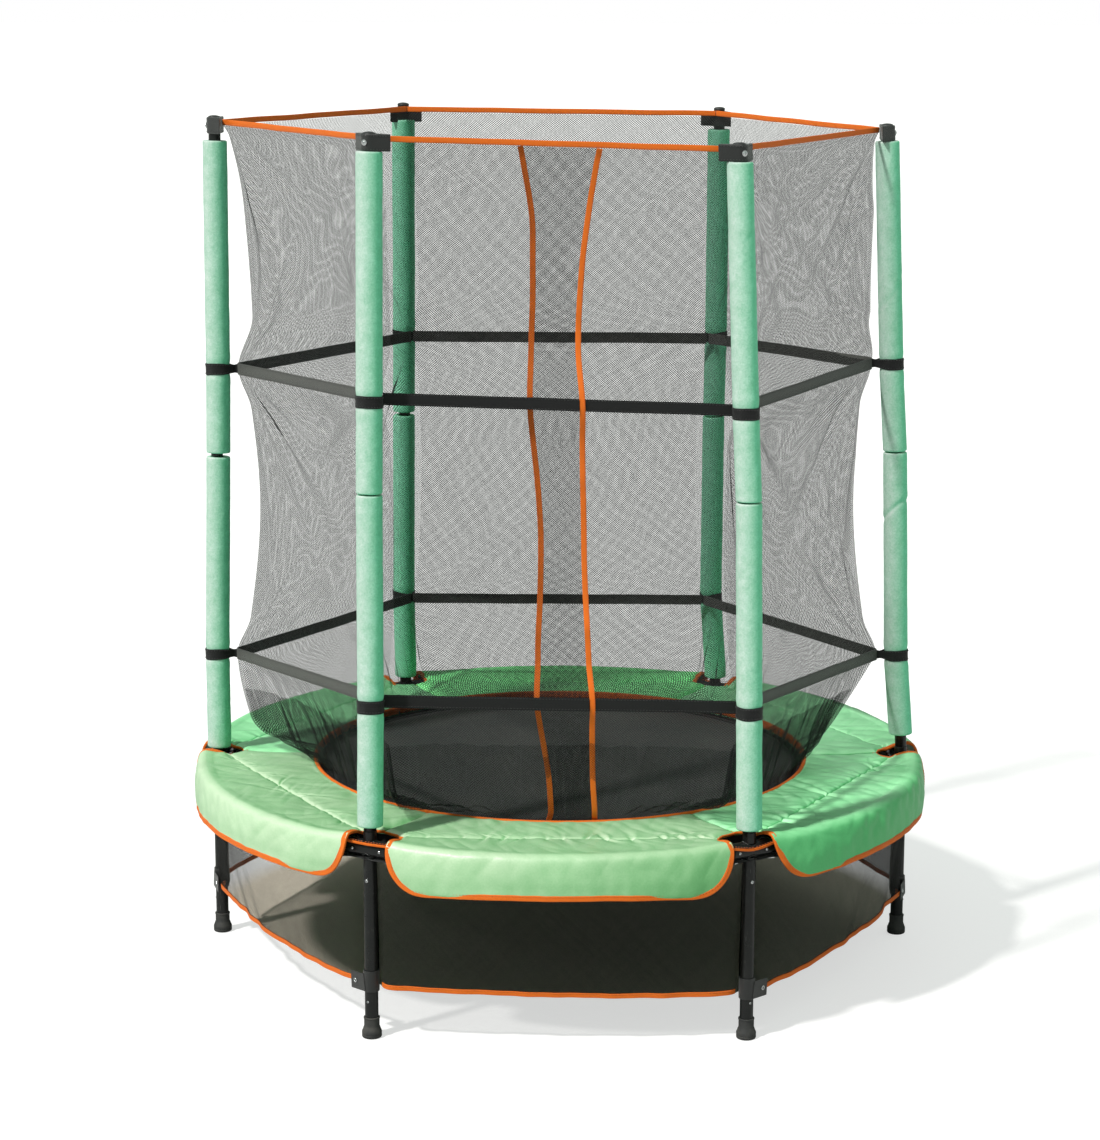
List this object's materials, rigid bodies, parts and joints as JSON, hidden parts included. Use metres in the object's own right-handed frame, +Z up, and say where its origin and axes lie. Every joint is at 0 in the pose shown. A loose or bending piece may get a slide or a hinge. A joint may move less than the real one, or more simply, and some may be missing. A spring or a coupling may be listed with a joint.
{
  "type": "trampoline",
  "caption": "Small round trampoline on straight legs with a sprung mat, padded green spring cover, lower skirt and a tall net enclosure on foam-sleeved poles with an overlapping door.",
  "frame": {"origin": "centre of the floor area under the mat, at the level of the feet", "axes": "+Z up, -Y towards the door, +X to the right of somebody facing the door"},
  "size_m": [1.4188, 1.424, 1.5903],
  "materials": {
    "black_steel": "satin black powder coat on steel tube",
    "spring_and_rail_steel": "satin black powder coat on tube, zinc plated spring wire",
    "foot_rubber": "matt moulded rubber",
    "black_plastic": "moulded, fine grain",
    "green_foam": "closed cell foam skin, finely mottled",
    "green_vinyl": "glossy coated cloth with soft creases",
    "net_mesh": "fine knitted polyester mesh, see-through",
    "skirt_mesh": "fine coated mesh, see-through",
    "black_webbing": "woven flat webbing",
    "orange_binding": "folded woven binding tape",
    "mat_weave": "tight black polypropylene weave"
  },
  "bodies": {
    "frame": {"leg_front_left": "black_steel", "foot_front_left": "foot_rubber", "pole_front_left": "black_steel", "pole_cap_front_left": "black_plastic", "foam_lower_front_left": "green_foam", "foam_upper_front_left": "green_foam", "leg_front_right": "black_steel", "foot_front_right": "foot_rubber", "pole_front_right": "black_steel", "pole_cap_front_right": "black_plastic", "foam_lower_front_right": "green_foam", "foam_upper_front_right": "green_foam", "leg_right": "black_steel", "foot_right": "foot_rubber", "pole_right": "black_steel", "pole_cap_right": "black_plastic", "foam_lower_right": "green_foam", "foam_upper_right": "green_foam", "leg_back_right": "black_steel", "foot_back_right": "foot_rubber", "pole_back_right": "black_steel", "pole_cap_back_right": "black_plastic", "foam_lower_back_right": "green_foam", "foam_upper_back_right": "green_foam", "leg_back_left": "black_steel", "foot_back_left": "foot_rubber", "pole_back_left": "black_steel", "pole_cap_back_left": "black_plastic", "foam_lower_back_left": "green_foam", "foam_upper_back_left": "green_foam", "leg_left": "black_steel", "foot_left": "foot_rubber", "pole_left": "black_steel", "pole_cap_left": "black_plastic", "foam_lower_left": "green_foam", "foam_upper_left": "green_foam", "rail_front": "spring_and_rail_steel", "pad_front": "green_vinyl", "net_door_outer": "net_mesh", "net_door_inner": "net_mesh", "rail_right_front": "spring_and_rail_steel", "pad_right_front": "green_vinyl", "net_right_front": "net_mesh", "rail_right_back": "spring_and_rail_steel", "pad_right_back": "green_vinyl", "net_right_back": "net_mesh", "rail_back": "spring_and_rail_steel", "pad_back": "green_vinyl", "net_back": "net_mesh", "rail_left_back": "spring_and_rail_steel", "pad_left_back": "green_vinyl", "net_left_back": "net_mesh", "rail_left_front": "spring_and_rail_steel", "pad_left_front": "green_vinyl", "net_left_front": "net_mesh", "net_top_binding": "orange_binding", "net_middle_band": "black_webbing", "net_lower_band": "black_webbing", "skirt": "skirt_mesh"},
    "bed": {"mat": "mat_weave"}
  },
  "joints": [
    {"name": "bed_bounce", "type": "slide", "parent": "frame", "child": "bed", "axis": [0, 0, 1], "range_m": [-0.12, 0], "stiffness_N_per_m": 3500, "springref_m": 0.015}
  ]
}
